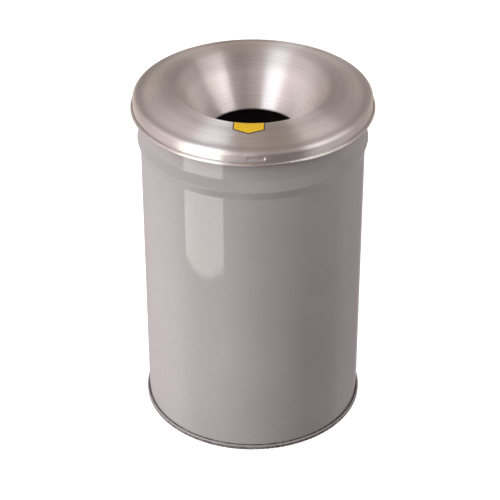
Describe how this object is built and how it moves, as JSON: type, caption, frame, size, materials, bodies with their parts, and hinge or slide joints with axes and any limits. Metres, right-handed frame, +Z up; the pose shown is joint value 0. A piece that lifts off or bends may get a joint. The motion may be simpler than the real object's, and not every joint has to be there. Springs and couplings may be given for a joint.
{
  "type": "oily waste can",
  "caption": "Round steel waste drum with a lift-off spun-aluminium funnel head that starves a fire inside the drum of air",
  "frame": {"origin": "centre of the base, at the height of the floor that the can stands on", "axes": "+Z up along the can's axis, -Y towards the front where the label is, +X to the right seen from the front"},
  "size_m": [0.3904, 0.3904, 0.5931],
  "materials": {
    "drum_paint": "light grey gloss powder coat",
    "spun_aluminium": "spun, fine circular lines, satin",
    "label_vinyl": "yellow printed vinyl with a dark border",
    "compound": "matt, flowed into the seam"
  },
  "bodies": {
    "drum": {"drum_shell": "drum_paint", "side_seam_weld": "drum_paint", "bottom_head": "drum_paint", "seam_compound": "compound"},
    "head": {"funnel_head": "spun_aluminium", "label": "label_vinyl"}
  },
  "joints": [
    {"name": "head_lift", "type": "slide", "parent": "drum", "child": "head", "axis": [0, 0, 1], "range_m": [0, 0.15]}
  ]
}
